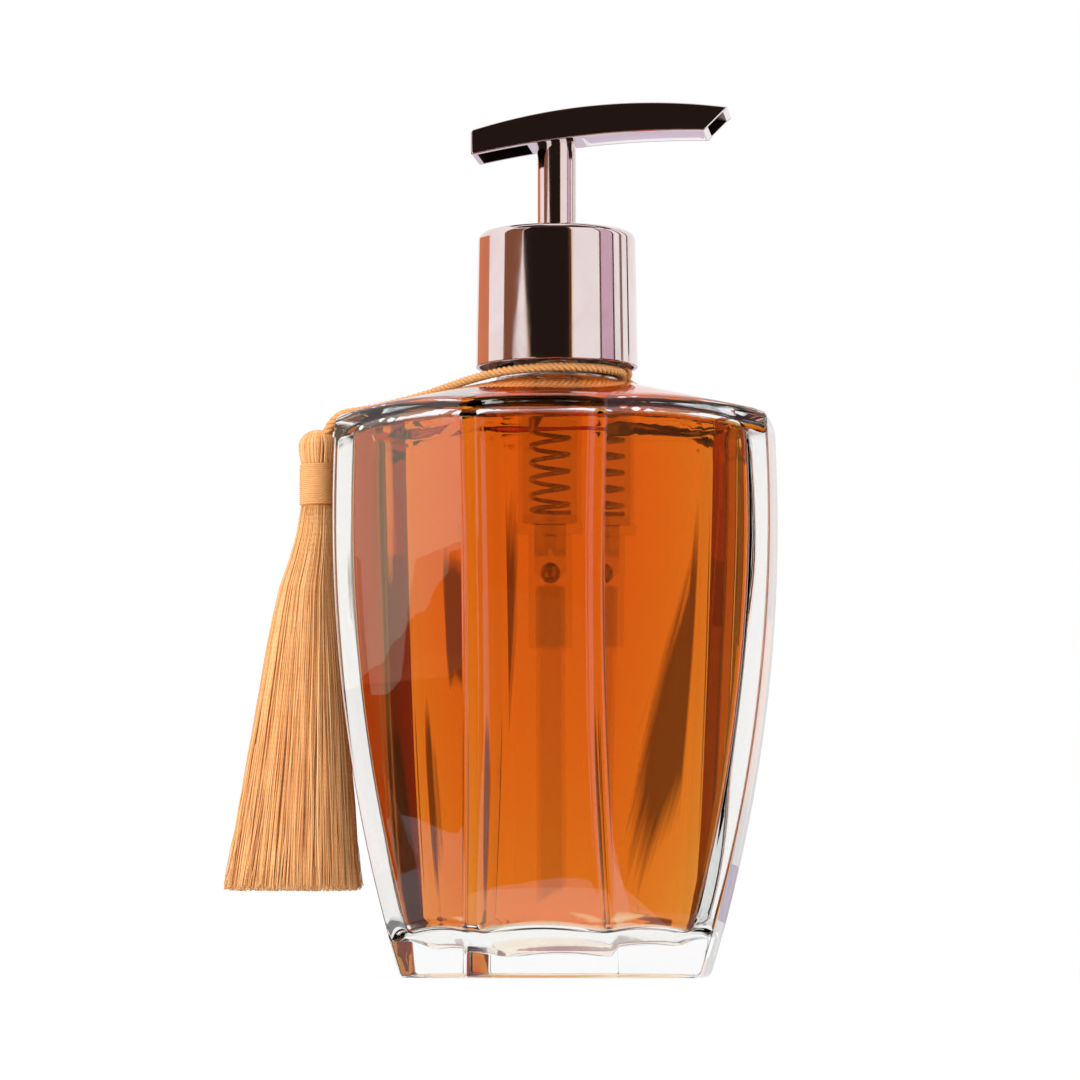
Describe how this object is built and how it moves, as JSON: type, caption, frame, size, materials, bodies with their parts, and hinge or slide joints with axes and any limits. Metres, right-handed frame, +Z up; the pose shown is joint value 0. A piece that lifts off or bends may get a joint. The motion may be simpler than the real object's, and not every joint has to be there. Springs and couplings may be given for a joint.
{
  "type": "soap pump dispenser",
  "caption": "Faceted clear glass bottle of amber soap with a screw-on rose gold lotion pump, its head an arched bar, and a silk tassel hung from a cord round the neck.",
  "frame": {"origin": "centre of the base, on the surface that the bottle stands on", "axes": "+Z up along the bottle, front facet towards -Y, nozzle towards +X, tassel on the -X side"},
  "size_m": [0.1135, 0.0902, 0.1808],
  "materials": {
    "clear_glass": "gloss",
    "amber_soap": "gloss",
    "rose_gold": "polished",
    "white_plastic": "satin",
    "natural_plastic": "satin",
    "valve_steel": "polished",
    "apricot_silk": "satin"
  },
  "bodies": {
    "bottle": {"glass_bottle": "clear_glass", "liquid_soap": "amber_soap", "cord_front_strand": "apricot_silk", "cord_back_strand": "apricot_silk", "cord_knot": "apricot_silk"},
    "pump_body": {"pump_housing": "natural_plastic", "stem_guide": "white_plastic", "neck_gasket": "white_plastic", "dip_tube": "natural_plastic", "ball_retainer": "natural_plastic", "return_spring": "valve_steel"},
    "closure": {"collar_sleeve": "rose_gold", "threaded_cap": "white_plastic"},
    "plunger": {"piston": "white_plastic"},
    "actuator": {"head_shell": "rose_gold", "nozzle_cover": "rose_gold", "stem_sleeve": "rose_gold", "piston_stem": "white_plastic"},
    "inlet_valve": {"inlet_ball": "valve_steel"},
    "outlet_valve": {"outlet_ball": "valve_steel"},
    "tassel": {"cord_drop": "apricot_silk", "tassel_head": "apricot_silk", "tassel_core": "apricot_silk", "tassel_binding": "apricot_silk", "tassel_skirt": "apricot_silk"}
  },
  "joints": [
    {"name": "pump_lift", "type": "slide", "parent": "bottle", "child": "pump_body", "axis": [0, 0, 1], "range_m": [0, 0.00635]},
    {"name": "closure_unscrew", "type": "hinge", "parent": "pump_body", "child": "closure", "pos_m": [0, 0, 0.14], "axis": [0, 0, 1], "range_deg": [0, 540]},
    {"name": "pump_press", "type": "slide", "parent": "pump_body", "child": "plunger", "axis": [0, 0, -1], "range_m": [0, 0.014], "stiffness_N_per_m": 600, "springref_m": -0.012, "deforming": ["return_spring"]},
    {"name": "head_swivel", "type": "hinge", "parent": "plunger", "child": "actuator", "pos_m": [0, 0, 0.15], "axis": [0, 0, 1], "continuous": true},
    {"name": "inlet_ball_lift", "type": "slide", "parent": "pump_body", "child": "inlet_valve", "axis": [0, 0, 1], "range_m": [0, 0.0012]},
    {"name": "outlet_ball_lift", "type": "slide", "parent": "actuator", "child": "outlet_valve", "axis": [0, 0, 1], "range_m": [0, 0.0012]},
    {"name": "tassel_swing", "type": "hinge", "parent": "bottle", "child": "tassel", "pos_m": [-0.045, 0, 0.1173], "axis": [0, 1, 0], "range_deg": [0, 75]}
  ],
  "couplings": [
    {"joint": "pump_lift", "follows": "closure_unscrew", "m_per_rad": 0.00067323}
  ]
}
